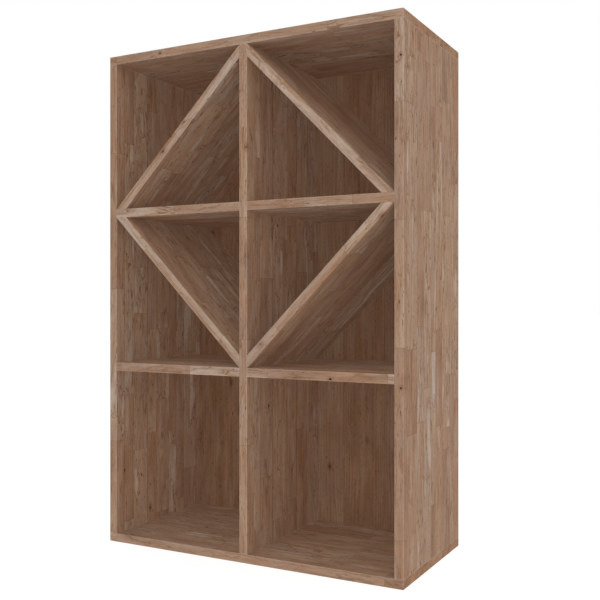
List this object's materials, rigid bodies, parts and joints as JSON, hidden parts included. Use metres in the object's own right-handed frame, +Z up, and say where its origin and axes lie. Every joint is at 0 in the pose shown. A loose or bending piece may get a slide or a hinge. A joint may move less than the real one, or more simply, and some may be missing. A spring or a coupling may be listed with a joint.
{
  "type": "wine rack",
  "caption": "Upright solid-wood wine rack: a diamond of diagonal boards around a centre divider over open square bins, with a back panel.",
  "frame": {"origin": "centre of the footprint, on the floor", "axes": "+Z up; the open front faces -Y and the back panel is at +Y; +X is to the right seen from the front"},
  "size_m": [0.68, 0.32, 1.05],
  "materials": {
    "oak_frame": "edge-glued solid oak staves, oiled, satin",
    "oak_shelf": "edge-glued solid oak staves, oiled, satin",
    "oak_diagonal": "edge-glued solid oak staves, oiled, satin",
    "oak_veneer_back": "straight-grained oak veneer board, oiled",
    "beech_dowel": "plain turned beech",
    "zinc_screw": "zinc-plated steel"
  },
  "bodies": {
    "root": {"top_panel": "oak_frame", "bottom_panel": "oak_frame", "left_side_panel": "oak_frame", "right_side_panel": "oak_frame", "centre_divider": "oak_frame", "upper_left_shelf": "oak_shelf", "upper_right_shelf": "oak_shelf", "lower_left_shelf": "oak_shelf", "lower_right_shelf": "oak_shelf", "upper_left_diagonal": "oak_diagonal", "upper_right_diagonal": "oak_diagonal", "lower_left_diagonal": "oak_diagonal", "lower_right_diagonal": "oak_diagonal", "back_panel": "oak_veneer_back", "top_panel_dowels": "beech_dowel", "bottom_panel_dowels": "beech_dowel", "left_side_dowels": "beech_dowel", "right_side_dowels": "beech_dowel", "divider_dowels": "beech_dowel", "upper_diagonal_dowels": "beech_dowel", "lower_diagonal_dowels": "beech_dowel", "diamond_point_dowels": "beech_dowel", "back_panel_screws": "zinc_screw"}
  },
  "joints": []
}
